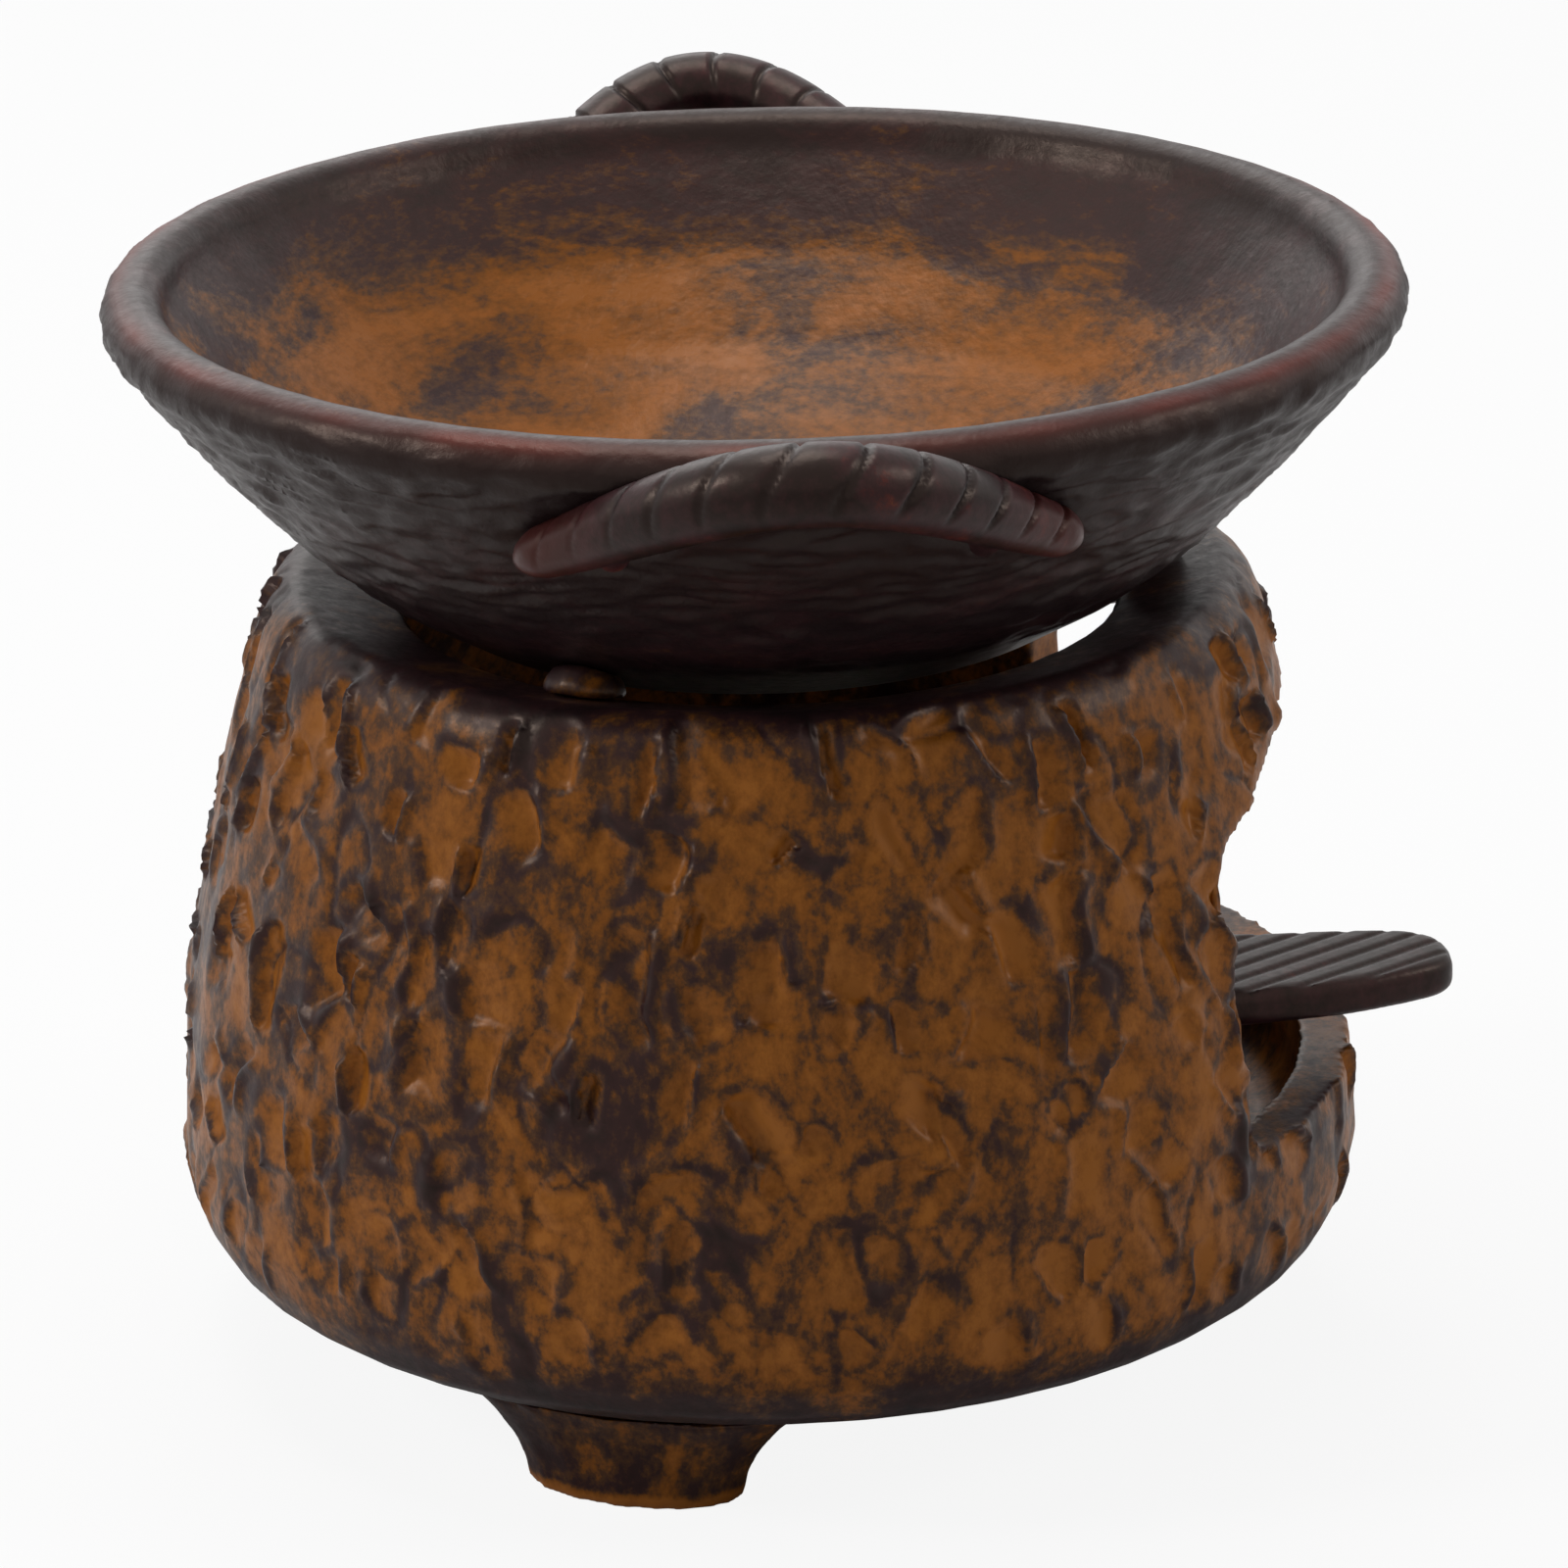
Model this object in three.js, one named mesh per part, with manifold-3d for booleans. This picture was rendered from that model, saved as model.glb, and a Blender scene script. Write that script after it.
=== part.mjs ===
// Ceramic tea warmer: a footed stoneware stand with an arched window, a dish with two rope handles that
// rests on three lugs in the stand's mouth, and a loose candle tray with a tealight on the stand's floor.
// Millimetres, +Z up, the window faces -Y and the feet stand on z = 0.

import * as THREE from "three";
import { mergeVertices } from "three/addons/utils/BufferGeometryUtils.js";
import Module from "manifold-3d";

const wasm = await Module();
wasm.setup();

// Driving dimensions of the stand
const undersideHeight = 9; // the feet lift the underside this far
const undersideRadius = 43.5;
const bellyRadius = 51.4;
const bellyHeight = 18;
const shoulderRadius = 43.4;
const shoulderHeight = 64.5;
const ridgeRadius = 39.5; // crest of the turned-in rim
const mouthRadius = 30.5;
const mouthRise = 2.7; // from the shoulder to the top of the lip round the mouth
const mouthHeight = shoulderHeight + mouthRise;
const ridgeRise = 2.1; // from the lip to the crest
const ridgeHeight = mouthHeight + ridgeRise;
const lipRadius = 1.2;
const standWall = 4.8;
const shelfThickness = 4.3; // the turned-in rim, measured down from its top
const floorHeight = 17;
const floorFillet = 6;
const wellRadius = 32; // shallow turned well in the underside
const wellDepth = 1.2;

// Driving dimensions of the arched window
const sillHeight = 26;
const crownDrop = 4.5; // from the shoulder to the window's crown
const crownHeight = shoulderHeight - crownDrop;
const archRise = 8.5;
const springHeight = crownHeight - archRise;
const windowHalfAngle = 45.6;
const windowCornerRadius = 2.4;

// Driving dimensions of the feet and the rest lugs
const footCount = 3;
const footTurn = 3; // degrees from the even places, as luted by hand
const footRadius = 38.2; // centre of the sole
const footSoleHalfWidth = 9.4;
const footSoleHalfDepth = 5;
const footTopHalfWidth = 18.6;
const footTopHalfDepth = 8.4;
const lugTurn = -4.4;
const lugRadius = 33.6;
const lugHalfWidth = 3.6;
const lugHalfDepth = 3.1;
const lugRise = 3.4;

// Driving dimensions of the dish
const rimRadius = 55;
const rimLip = 2.7; // radius of the rounded rim
const dishDepth = 29.7; // from the base to the top of the rim
const dishSink = 0.9; // the base hangs this far below the lip of the stand's mouth
const dishBaseRadius = 25.5;
const dishBaseHeight = mouthHeight - dishSink;
const rimHeight = dishBaseHeight + dishDepth;
const dishBaseRound = 0.8;
const dishFlareRadius = 38.5; // where the outer wall bends from base to flare
const dishFlareRise = 5.3;
const dishFlareHeight = dishBaseHeight + dishFlareRise;
const dishWall = 4.4;
const dishFloorRadius = 17;
const dishTurn = -5; // degrees, as the loose dish was set down

// Driving dimensions of the rope handles
const handleHalfSpan = 22.4;
const handleEndInset = 3.8; // from the rim's edge in to the coil's centre at its ends
const handleEndRadius = rimRadius - handleEndInset;
const handleEndDrop = 10.7;
const handleEndHeight = rimHeight - handleEndDrop;
const handleStandOff = 7.3; // from the rim's edge out to the coil's centre at its crown
const handleCrownReach = rimRadius + handleStandOff;
const handleCrownDrop = 0.6;
const handleCrownHeight = rimHeight - handleCrownDrop;
const coilCrownRadius = 3.3;
const coilEndRadius = 2.7;
const coilEndRound = 2.4;
const notchCount = 11;
const notchDepth = 0.55;
const notchSlant = 0.55; // share of a notch's pitch that it drifts along the coil in half a turn
const legDrop = 13; // from the rim down to where each leg's axis meets the dish's wall
const legHeight = rimHeight - legDrop;
const legSide = 14.6; // from the handle's middle to each leg
const legRootRadius = 3.1;
const legTopRadius = 2.5;

// Driving dimensions of the candle tray
const trayRimRadius = 27;
const trayRimHeight = 34.5;
const trayRimRound = 1.5;
const trayFootRadius = 14;
const trayFootHeight = 1.7;
const trayWall = 2.8;
const traySeatRadius = 20.4;
const trayShift = 4; // the loose tray stands a little to one side
const trayTurn = -11; // degrees
const tongueReach = 58.7; // from the tray's centre to the tongue's tip
const tongueThickness = 3.4;
const tongueNearWidth = 10.8; // the two sides at the root, which the maker cut unevenly
const tongueFarWidth = 4.4;
const tongueEdgeRound = 1.1;
const grooveCount = 9;
const groovePitch = 2.3;
const grooveDepth = 0.4;
const grooveAngle = 41;
const grooveStart = 33; // from the tray's centre to the first groove, along the tongue

// Driving dimensions of the tealight
const cupRadius = 19;
const cupHeight = 15;
const cupWall = 0.4;
const waxHeight = 11.6;
const waxDish = 0.8; // the burnt top is this much lower at the wick
const sustainerRadius = 6.5;
const sustainerNeck = 1.6;
const sustainerNeckHeight = 4;
const wickRadius = 0.7;
const wickHeight = 18.6;
const wickClearance = 0.35;

// Clearances and fineness
const seatGap = 0.3; // between pieces that rest on or are luted to each other
const potSegments = 48;
const smallSegments = 32;
const weldDistance = 1e-3;

const radians = THREE.MathUtils.degToRad;
const lerp = THREE.MathUtils.lerp;
const stackedGap = trayFootHeight + trayWall;
const trayBottom = floorHeight + seatGap;
const trayFloor = trayBottom + stackedGap;
const tealightBottom = trayFloor + seatGap;

// The stand's axis lies where the whole object, tongue and rim alike, is centred on the origin.
const axisY = (tongueReach * Math.cos(radians(trayTurn)) - rimRadius) / 2;

// Turns a closed three.js geometry into a manifold-3d solid with shared vertices.
function toSolid(geometry) {
  const bare = geometry.index ? geometry.toNonIndexed() : geometry.clone();
  bare.deleteAttribute("normal");
  bare.deleteAttribute("uv");
  const merged = mergeVertices(bare, weldDistance);
  return new wasm.Manifold(
    new wasm.Mesh({
      numProp: 3,
      vertProperties: merged.attributes.position.array,
      triVerts: new Uint32Array(merged.index.array),
    }),
  );
}

// Turns a manifold-3d solid back into an indexed geometry.
function toGeometry(solid) {
  const mesh = solid.getMesh();
  const geometry = new THREE.BufferGeometry();
  geometry.setAttribute("position", new THREE.BufferAttribute(mesh.vertProperties, mesh.numProp));
  geometry.setIndex(new THREE.BufferAttribute(mesh.triVerts, 1));
  geometry.computeVertexNormals();
  return geometry;
}

// Revolves a profile of radius and height about +Z, with the faces out.
function revolve(points, segments) {
  const area = THREE.ShapeUtils.area(points);
  const ordered = area > 0 ? points : [...points].reverse();
  return new THREE.LatheGeometry(ordered, segments).rotateX(Math.PI / 2);
}

// Skins equal rings of points, which run counter-clockwise about the way they travel, and caps both ends.
function loft(rings) {
  const count = rings[0].length;
  const last = rings.length - 1;
  const points = rings.flat();
  const faces = [];
  for (let ring = 0; ring < last; ring++) {
    for (let i = 0; i < count; i++) {
      const a = ring * count + i;
      const b = ring * count + ((i + 1) % count);
      faces.push(a, b, b + count, a, b + count, a + count);
    }
  }
  const middle = (ring) => ring.reduce((sum, p) => sum.add(p), new THREE.Vector3()).divideScalar(count);
  const start = points.push(middle(rings[0])) - 1;
  const end = points.push(middle(rings[last])) - 1;
  for (let i = 0; i < count; i++) {
    const next = (i + 1) % count;
    faces.push(start, next, i);
    faces.push(end, last * count + i, last * count + next);
  }
  const geometry = new THREE.BufferGeometry().setFromPoints(points);
  geometry.setIndex(faces);
  geometry.computeVertexNormals();
  return geometry;
}

// Outer profile of the stand from the axis at the underside to the crest of its rim, let out by grow.
function standOutline(grow) {
  const path = new THREE.Path();
  const under = undersideHeight - grow;
  path.moveTo(0, under + wellDepth);
  path.lineTo(wellRadius, under + wellDepth);
  path.lineTo(wellRadius + wellDepth, under);
  path.lineTo(undersideRadius + grow, under);
  path.quadraticCurveTo(bellyRadius - 0.9 + grow, under + 0.6, bellyRadius + grow, bellyHeight);
  path.bezierCurveTo(
    bellyRadius + grow, lerp(bellyHeight, shoulderHeight, 0.34),
    lerp(bellyRadius, shoulderRadius, 0.48) + grow, lerp(bellyHeight, shoulderHeight, 0.69),
    shoulderRadius + grow, shoulderHeight,
  );
  path.quadraticCurveTo(
    lerp(shoulderRadius, ridgeRadius, 0.3) + grow, ridgeHeight - 0.3 + grow,
    ridgeRadius, ridgeHeight + grow,
  );
  path.lineTo(mouthRadius + lipRadius, mouthHeight + grow);
  return path;
}

// The stand's shell: wall, floor and turned-in rim, before the window is cut.
function standShell() {
  const profile = standOutline(0);
  const lipBottom = mouthHeight - 2 * lipRadius;
  profile.absarc(mouthRadius + lipRadius, mouthHeight - lipRadius, lipRadius, Math.PI / 2, Math.PI * 1.5, false);
  const shelfRadius = ridgeRadius - standWall / 2;
  const shelfHeight = ridgeHeight - shelfThickness - 1;
  profile.quadraticCurveTo(shelfRadius, lipBottom, shoulderRadius - standWall - 0.6, shelfHeight - 2.6);
  profile.bezierCurveTo(
    lerp(bellyRadius, shoulderRadius, 0.48) - standWall, lerp(bellyHeight, shoulderHeight, 0.69),
    bellyRadius - standWall, lerp(bellyHeight, shoulderHeight, 0.34),
    bellyRadius - standWall, floorHeight + floorFillet,
  );
  profile.quadraticCurveTo(
    bellyRadius - standWall, floorHeight,
    bellyRadius - standWall - floorFillet, floorHeight,
  );
  profile.lineTo(0, floorHeight);
  return revolve(profile.getPoints(4), potSegments);
}

// The window's cutter: an arched block swept round the stand's axis, so both jambs are cut radially.
function windowCutter() {
  const steps = 40;
  const half = radians(windowHalfAngle);
  const inside = bellyRadius - 5 * standWall;
  const outside = bellyRadius + 2 * standWall;
  const rings = [];
  for (let step = 0; step <= steps; step++) {
    const share = -Math.cos((Math.PI * step) / steps);
    const angle = half * share;
    const fromJamb = Math.min(windowCornerRadius, (half - Math.abs(angle)) * bellyRadius);
    const corner = windowCornerRadius - Math.sqrt(windowCornerRadius ** 2 - (windowCornerRadius - fromJamb) ** 2);
    const bottom = sillHeight + corner;
    const top = lerp(crownHeight, springHeight, share * share) - corner;
    const at = (radius, height) => (
      new THREE.Vector3(radius * Math.sin(angle), -radius * Math.cos(angle), height)
    );
    rings.push([at(outside, bottom), at(inside, bottom), at(inside, top), at(outside, top)]);
  }
  return loft(rings);
}

// One foot: a flared, concave-sided tab of clay that follows the stand's round underside.
function foot(standGrown) {
  const levels = 5;
  const sides = 18;
  const top = undersideHeight + 1.5;
  const rings = [];
  for (let level = 0; level <= levels; level++) {
    const share = level / levels;
    const flare = share ** 2.1;
    const halfWidth = lerp(footSoleHalfWidth, footTopHalfWidth, flare);
    const halfDepth = lerp(footSoleHalfDepth, footTopHalfDepth, flare ** 1.2);
    const ring = [];
    for (let side = 0; side < sides; side++) {
      const turn = (2 * Math.PI * side) / sides;
      const x = halfDepth * Math.sign(Math.cos(turn)) * Math.abs(Math.cos(turn)) ** 0.75;
      const y = halfWidth * Math.sign(Math.sin(turn)) * Math.abs(Math.sin(turn)) ** 0.9;
      const along = y / footRadius;
      const reach = footRadius + x;
      ring.push(new THREE.Vector3(reach * Math.cos(along), reach * Math.sin(along), share * top));
    }
    rings.push(ring);
  }
  return toGeometry(toSolid(loft(rings)).subtract(standGrown));
}

// One rest lug: a pinch of clay on the sloping rim, worn to the dish it carries.
function restLug(standGrown, dishGrown) {
  const seat = lerp(mouthHeight, ridgeHeight, (lugRadius - mouthRadius) / (ridgeRadius - mouthRadius));
  const pinch = new THREE.SphereGeometry(1, 12, 7);
  pinch.scale(lugHalfDepth, lugHalfWidth, lugRise);
  pinch.translate(lugRadius, 0, seat);
  return toGeometry(toSolid(pinch).subtract(standGrown).subtract(dishGrown));
}

// Outer profile of the dish from the axis at its base to the crest of its rounded rim, let out by grow.
function dishOutline(grow) {
  const path = new THREE.Path();
  const bottom = dishBaseHeight - grow;
  const lipRadiusOut = rimLip + grow;
  path.moveTo(0, bottom);
  path.lineTo(dishBaseRadius, bottom);
  path.quadraticCurveTo(dishBaseRadius + 2 * dishBaseRound, bottom, dishBaseRadius + 2.6, bottom + dishBaseRound);
  const rimStart = -0.35;
  path.quadraticCurveTo(
    dishFlareRadius + 0.5 * grow, dishFlareHeight - grow,
    rimRadius - rimLip + lipRadiusOut * Math.cos(rimStart),
    rimHeight - rimLip + lipRadiusOut * Math.sin(rimStart),
  );
  path.absarc(rimRadius - rimLip, rimHeight - rimLip, lipRadiusOut, rimStart, Math.PI / 2, false);
  return path;
}

// The dish: a flaring bowl with a thick rounded rim and a flat floor.
function dishBowl() {
  const profile = dishOutline(0);
  const floor = dishBaseHeight + dishWall;
  profile.absarc(rimRadius - rimLip, rimHeight - rimLip, rimLip, Math.PI / 2, Math.PI, false);
  profile.quadraticCurveTo(
    dishFlareRadius - dishWall * 0.8, dishFlareHeight + dishWall * 0.75,
    dishFloorRadius + 3, floor + 0.25,
  );
  profile.lineTo(dishFloorRadius, floor);
  profile.lineTo(0, floor);
  return revolve(profile.getPoints(4), potSegments);
}

// The dish as a full solid let out by grow, which trims the pieces that lie against it.
function dishEnvelope(grow) {
  const profile = dishOutline(grow);
  profile.lineTo(0, rimHeight + grow);
  return toSolid(revolve(profile.getPoints(4), potSegments));
}

// Centre line of a rope handle on the +X side: an arch that leaves the wall, swells out and comes back.
class HandleLine extends THREE.Curve {
  getPoint(t, target = new THREE.Vector3()) {
    const across = lerp(-1, 1, t);
    const swell = Math.max(0, 1 - across * across) ** 1.5;
    const endReach = Math.sqrt(handleEndRadius ** 2 - handleHalfSpan ** 2);
    return target.set(
      lerp(endReach, handleCrownReach, swell),
      handleHalfSpan * across,
      lerp(handleEndHeight, handleCrownHeight, swell),
    );
  }
}

// The leg that joins the coil to the dish's wall on one side of the handle, thicker at its root.
function rootLeg(line, side) {
  const levels = 4;
  const sides = 10;
  const y = side * legSide;
  const top = line.getPoint(0.5 + (0.5 * y) / handleHalfSpan);
  const root = new THREE.Vector3(Math.sqrt(wallRadius(legHeight) ** 2 - y ** 2) - 1, y, legHeight);
  const across = new THREE.Vector3(0, 1, 0);
  const up = top.clone().sub(root).normalize().cross(across);
  const rings = [];
  for (let level = 0; level <= levels; level++) {
    const centre = root.clone().lerp(top, level / levels);
    const radius = lerp(legRootRadius, legTopRadius, level / levels);
    const ring = [];
    for (let corner = 0; corner < sides; corner++) {
      const turn = (2 * Math.PI * corner) / sides;
      const point = centre.clone().addScaledVector(across, radius * Math.cos(turn));
      ring.push(point.addScaledVector(up, radius * Math.sin(turn)));
    }
    rings.push(ring);
  }
  return loft(rings);
}

// One rope handle: a notched coil of clay with blunt ends and two legs, trimmed to the dish.
function ropeHandle(dishGrown) {
  const steps = 52;
  const sides = 10;
  const line = new HandleLine();
  const length = line.getLength();
  const frames = line.computeFrenetFrames(steps, false);
  const rings = [];
  for (let step = 0; step <= steps; step++) {
    const share = step / steps;
    const centre = line.getPointAt(share);
    const fromEnd = Math.min(share, 1 - share) * length + 0.15 * coilEndRound;
    const blunt = Math.min(1, fromEnd / coilEndRound);
    const girth = lerp(coilEndRadius, coilCrownRadius, Math.sin(Math.PI * share));
    const rounded = girth * Math.sqrt(1 - (1 - blunt) ** 2);
    const ring = [];
    for (let side = 0; side < sides; side++) {
      const turn = (2 * Math.PI * side) / sides;
      const phase = share * notchCount - notchSlant * Math.cos(turn);
      const groove = (0.5 + 0.5 * Math.cos(2 * Math.PI * phase)) ** 4;
      const radius = rounded - notchDepth * groove * blunt;
      const point = centre.clone();
      point.addScaledVector(frames.normals[step], radius * Math.cos(turn));
      point.addScaledVector(frames.binormals[step], radius * Math.sin(turn));
      ring.push(point);
    }
    rings.push(ring);
  }
  let solid = toSolid(loft(rings));
  for (const side of [-1, 1]) solid = solid.add(toSolid(rootLeg(line, side)));
  return toGeometry(solid.subtract(dishGrown));
}

// The dish's outer radius at a height, read off its own profile.
function wallRadius(height) {
  const points = dishOutline(0).getPoints(24);
  const above = points.findIndex((p) => p.x > dishBaseRadius && p.y >= height);
  const [low, high] = [points[above - 1], points[above]];
  return lerp(low.x, high.x, (height - low.y) / (high.y - low.y));
}

// Profile of the candle tray's outside from the axis to the crest of its rim, let out by grow.
function trayOutline(grow) {
  const path = new THREE.Path();
  const bottom = trayBottom - grow;
  const shelf = trayBottom + trayFootHeight - grow;
  path.moveTo(0, bottom);
  path.lineTo(trayFootRadius + grow, bottom);
  path.lineTo(trayFootRadius + 0.6 + grow, shelf);
  path.lineTo(traySeatRadius - 0.6 + grow, shelf);
  path.quadraticCurveTo(
    trayRimRadius - 2.2 + grow, shelf + 1.2,
    trayRimRadius + grow, trayRimHeight - trayRimRound,
  );
  path.absarc(trayRimRadius - trayRimRound, trayRimHeight - trayRimRound, trayRimRound + grow, 0, Math.PI / 2, false);
  return path;
}

// The candle tray: a small footed saucer with a flat seat for the tealight.
function candleTray() {
  const profile = trayOutline(0);
  profile.absarc(trayRimRadius - trayRimRound, trayRimHeight - trayRimRound, trayRimRound, Math.PI / 2, Math.PI, false);
  profile.quadraticCurveTo(
    trayRimRadius - 2 * trayRimRound - 0.8, trayFloor + 1.4,
    traySeatRadius, trayFloor,
  );
  profile.lineTo(0, trayFloor);
  return revolve(profile.getPoints(3), smallSegments);
}

// The tray as a full solid let out by grow, which trims the tongue's root.
function trayEnvelope(grow) {
  const profile = trayOutline(grow);
  profile.lineTo(0, trayRimHeight + grow);
  return toSolid(revolve(profile.getPoints(3), smallSegments));
}

// The tray's tongue: a flat leaf of clay with a rounded tip and oblique grooves across its top.
function trayTongue() {
  const root = trayRimRadius - 2;
  const round = tongueEdgeRound;
  const outline = new THREE.Shape();
  outline.moveTo(-tongueNearWidth + round, -root);
  outline.bezierCurveTo(
    -tongueNearWidth + round + 0.6, -lerp(root, tongueReach, 0.5),
    -0.62 * tongueNearWidth + round, -lerp(root, tongueReach, 0.78),
    -0.3 * tongueNearWidth + round, -tongueReach + round + 1.6,
  );
  outline.quadraticCurveTo(
    -0.2 * tongueNearWidth + round, -tongueReach + round,
    0, -tongueReach + round,
  );
  outline.bezierCurveTo(
    0.9 * tongueFarWidth, -tongueReach + round,
    1.6 * tongueFarWidth - round, -lerp(root, tongueReach, 0.92),
    1.35 * tongueFarWidth - round, -lerp(root, tongueReach, 0.68),
  );
  outline.lineTo(tongueFarWidth - round, -root);
  const plate = new THREE.ExtrudeGeometry(outline, {
    depth: tongueThickness - 2 * round,
    bevelEnabled: true,
    bevelThickness: round,
    bevelSize: round,
    bevelSegments: 3,
    curveSegments: 8,
  });
  plate.translate(0, 0, trayRimHeight - tongueThickness + round);
  let solid = toSolid(plate).subtract(trayEnvelope(seatGap));
  const blade = grooveDepth * Math.SQRT2;
  for (let groove = 0; groove < grooveCount; groove++) {
    const cutter = new THREE.BoxGeometry(2 * tongueReach, blade, blade);
    cutter.rotateX(Math.PI / 4);
    cutter.rotateZ(radians(grooveAngle) - Math.PI / 2);
    const along = (groove * groovePitch) / Math.sin(radians(grooveAngle));
    cutter.translate(0, -grooveStart - along, trayRimHeight);
    solid = solid.subtract(toSolid(cutter));
  }
  return toGeometry(solid);
}

// The tealight's aluminium cup, rolled out at its rim.
function tealightCup() {
  const bottom = tealightBottom;
  const top = bottom + cupHeight;
  const profile = new THREE.Path();
  profile.moveTo(0, bottom);
  profile.lineTo(cupRadius - 1.2, bottom);
  profile.quadraticCurveTo(cupRadius - 0.3, bottom, cupRadius - 0.3, bottom + 1);
  profile.lineTo(cupRadius - 0.3, top - 0.8);
  profile.lineTo(cupRadius, top - 0.8);
  profile.lineTo(cupRadius, top);
  profile.lineTo(cupRadius - 0.3 - cupWall, top);
  profile.lineTo(cupRadius - 0.3 - cupWall, bottom + cupWall + 1);
  profile.lineTo(cupRadius - 1.3 - cupWall, bottom + cupWall);
  profile.lineTo(0, bottom + cupWall);
  return revolve(profile.getPoints(3), smallSegments);
}

// The wax: a disc with a hollow for the sustainer and a bore for the wick.
function tealightWax() {
  const bottom = tealightBottom + cupWall + seatGap;
  const top = bottom + waxHeight;
  const outer = cupRadius - 0.3 - cupWall - seatGap;
  const hollow = cupWall + 2 * seatGap;
  const profile = new THREE.Path();
  profile.moveTo(sustainerRadius + seatGap, bottom);
  profile.lineTo(outer - 1.2, bottom);
  profile.lineTo(outer, bottom + 1.2);
  profile.lineTo(outer, top);
  profile.quadraticCurveTo(outer - 5, top - waxDish, wickRadius + wickClearance, top - waxDish);
  profile.lineTo(wickRadius + wickClearance, bottom + sustainerNeckHeight + hollow);
  profile.lineTo(sustainerNeck + seatGap, bottom + sustainerNeckHeight + hollow);
  profile.lineTo(sustainerNeck + seatGap, bottom + hollow);
  profile.lineTo(sustainerRadius + seatGap, bottom + hollow);
  profile.lineTo(sustainerRadius + seatGap, bottom);
  return revolve(profile.getPoints(4), smallSegments);
}

// The tin sustainer that holds the wick upright on the cup's floor.
function wickSustainer() {
  const bottom = tealightBottom + cupWall + seatGap;
  const bore = wickRadius + wickClearance;
  const profile = [
    new THREE.Vector2(0, bottom),
    new THREE.Vector2(sustainerRadius, bottom),
    new THREE.Vector2(sustainerRadius, bottom + cupWall),
    new THREE.Vector2(sustainerNeck, bottom + cupWall),
    new THREE.Vector2(sustainerNeck, bottom + sustainerNeckHeight),
    new THREE.Vector2(bore, bottom + sustainerNeckHeight),
    new THREE.Vector2(bore, bottom + cupWall / 2),
    new THREE.Vector2(0, bottom + cupWall / 2),
  ];
  return revolve(profile, smallSegments / 2);
}

// The wick, which stands in the sustainer's bore and bends a little at its burnt tip.
function candleWick() {
  const bottom = tealightBottom + cupWall + seatGap + cupWall / 2 + seatGap;
  const line = new THREE.CatmullRomCurve3([
    new THREE.Vector3(0, 0, bottom),
    new THREE.Vector3(0, 0, bottom + 0.7 * wickHeight),
    new THREE.Vector3(0.4, 0, bottom + 0.88 * wickHeight),
    new THREE.Vector3(1.2, 0, bottom + wickHeight),
  ]);
  const section = new THREE.Shape();
  section.absarc(0, 0, wickRadius, 0, 2 * Math.PI, false);
  return new THREE.ExtrudeGeometry(section, { steps: 10, curveSegments: 4, extrudePath: line });
}

// Finishes of the real pieces
const glaze = new THREE.MeshStandardMaterial({ color: "#7a4717", roughness: 0.55, metalness: 0 });
const glazeDark = new THREE.MeshStandardMaterial({ color: "#3a2622", roughness: 0.5, metalness: 0 });
const aluminium = new THREE.MeshStandardMaterial({ color: "#c9cacc", roughness: 0.32, metalness: 1 });
const wax = new THREE.MeshStandardMaterial({ color: "#f1ece0", roughness: 0.5, metalness: 0 });
const tin = new THREE.MeshStandardMaterial({ color: "#a9a9a6", roughness: 0.4, metalness: 1 });
const cotton = new THREE.MeshStandardMaterial({ color: "#e6dfcf", roughness: 0.95, metalness: 0 });

// Makes a named mesh and adds it to its group.
function place(group, name, geometry, material) {
  const mesh = new THREE.Mesh(geometry, material);
  mesh.name = name;
  group.add(mesh);
  return mesh;
}

const warmer = new THREE.Group();
const stand = new THREE.Group();
const dish = new THREE.Group();
const tray = new THREE.Group();
stand.position.set(0, axisY, 0);
dish.position.set(0, axisY, 0);
tray.position.set(-trayShift, axisY, 0);
dish.rotation.z = radians(dishTurn);
tray.rotation.z = radians(trayTurn);
warmer.add(stand, dish, tray);

const standGrownProfile = standOutline(seatGap);
standGrownProfile.lineTo(0, mouthHeight);
const standGrown = toSolid(revolve(standGrownProfile.getPoints(4), potSegments));
const dishGrown = dishEnvelope(seatGap);

const shell = toSolid(standShell()).subtract(toSolid(windowCutter()));
place(stand, "base_shell", toGeometry(shell), glaze);

const sideNames = ["right", "left", "front"];
sideNames.slice(0, footCount).forEach((side, i) => {
  const even = 30 + (360 * i) / footCount;
  place(stand, `foot_${side}`, foot(standGrown), glaze).rotation.z = radians(even + footTurn);
  place(stand, `rest_lug_${side}`, restLug(standGrown, dishGrown), glaze).rotation.z = radians(even + lugTurn);
});

place(dish, "dish_bowl", dishBowl(), glazeDark);
place(dish, "dish_handle_right", ropeHandle(dishGrown), glazeDark);
place(dish, "dish_handle_left", ropeHandle(dishGrown), glazeDark).rotation.z = Math.PI;

place(tray, "candle_tray", candleTray(), glazeDark);
place(tray, "tray_tongue", trayTongue(), glazeDark);
place(tray, "tealight_cup", tealightCup(), aluminium);
place(tray, "tealight_wax", tealightWax(), wax);
place(tray, "wick_sustainer", wickSustainer(), tin);
place(tray, "candle_wick", candleWick(), cotton);

export default warmer;
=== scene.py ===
"""Looks of a ceramic tea warmer: glazed stoneware stand, dish with rope handles, tray and tealight."""

import logging
import math
from collections.abc import Iterator
from dataclasses import dataclass, field
from enum import Enum
from typing import Any

import bpy
import numpy as np
from mathutils import Matrix, Vector, noise


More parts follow.
